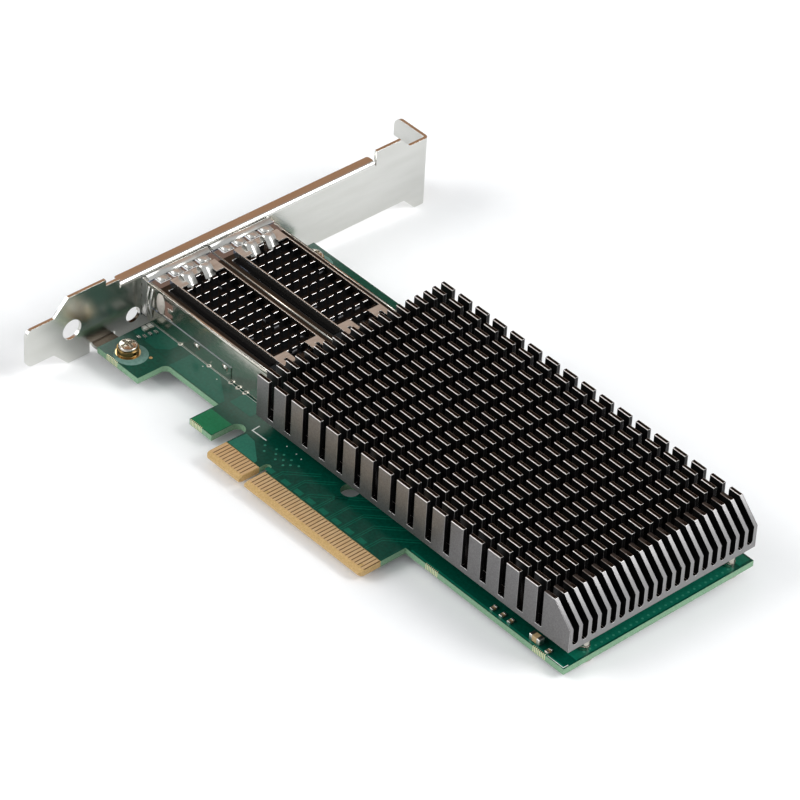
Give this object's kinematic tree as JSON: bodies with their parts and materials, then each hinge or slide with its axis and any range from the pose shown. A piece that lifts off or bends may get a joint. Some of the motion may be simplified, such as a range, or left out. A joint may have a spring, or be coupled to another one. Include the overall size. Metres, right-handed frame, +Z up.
{
  "type": "network interface card",
  "caption": "Dual-port network interface card with slot bracket, port cages, port heat sinks and a large pin heat sink.",
  "frame": {"origin": "middle of the key notch on the contact edge, at the component face of the board", "axes": "+X from the bracket to the tail, +Y from the contact edge to the far edge, +Z up from the component face"},
  "size_m": [0.1596, 0.12, 0.022],
  "materials": {
    "board_laminate": "green solder mask over glass fibre laminate",
    "gold_contacts": "hard gold plating",
    "bracket_steel": "nickel plated sheet, satin",
    "screw_nickel": "nickel plated",
    "washer_brass": "plain brass",
    "cage_nickel_silver": "bright rolled nickel silver sheet",
    "spring_steel": "bright spring sheet",
    "port_sink_aluminium": "satin anodised",
    "heat_sink_aluminium": "satin anodised",
    "connector_plastic": "moulded black",
    "package_plastic": "moulded black",
    "lid_copper_nickel": "nickel plated copper",
    "thermal_silicone": "soft grey pad",
    "inductor_ferrite": "pressed iron powder",
    "capacitor_ceramic": "fired, satin",
    "light_lens": "clear resin over white"
  },
  "bodies": {
    "root": {"circuit_board": "board_laminate", "edge_contacts": "gold_contacts", "bracket": "bracket_steel", "bracket_screws": "screw_nickel", "spring_washers": "screw_nickel", "flat_washers": "washer_brass", "near_cage_shell": "cage_nickel_silver", "near_cage_floor": "cage_nickel_silver", "near_cage_springs": "spring_steel", "near_port_heat_sink": "port_sink_aluminium", "near_heat_sink_clip": "spring_steel", "near_port_connector": "connector_plastic", "far_cage_shell": "cage_nickel_silver", "far_cage_floor": "cage_nickel_silver", "far_cage_springs": "spring_steel", "far_port_heat_sink": "port_sink_aluminium", "far_heat_sink_clip": "spring_steel", "far_port_connector": "connector_plastic", "port_contacts": "gold_contacts", "heat_sink": "heat_sink_aluminium", "heat_sink_posts": "screw_nickel", "heat_sink_screws": "screw_nickel", "controller_package": "package_plastic", "controller_lid": "lid_copper_nickel", "thermal_pad": "thermal_silicone", "flash_memory": "package_plastic", "clock_crystal": "lid_copper_nickel", "power_inductors": "inductor_ferrite", "power_stages": "package_plastic", "ceramic_capacitors": "capacitor_ceramic", "edge_capacitors": "capacitor_ceramic", "bulk_capacitor": "capacitor_ceramic", "port_lights": "light_lens"}
  },
  "joints": []
}
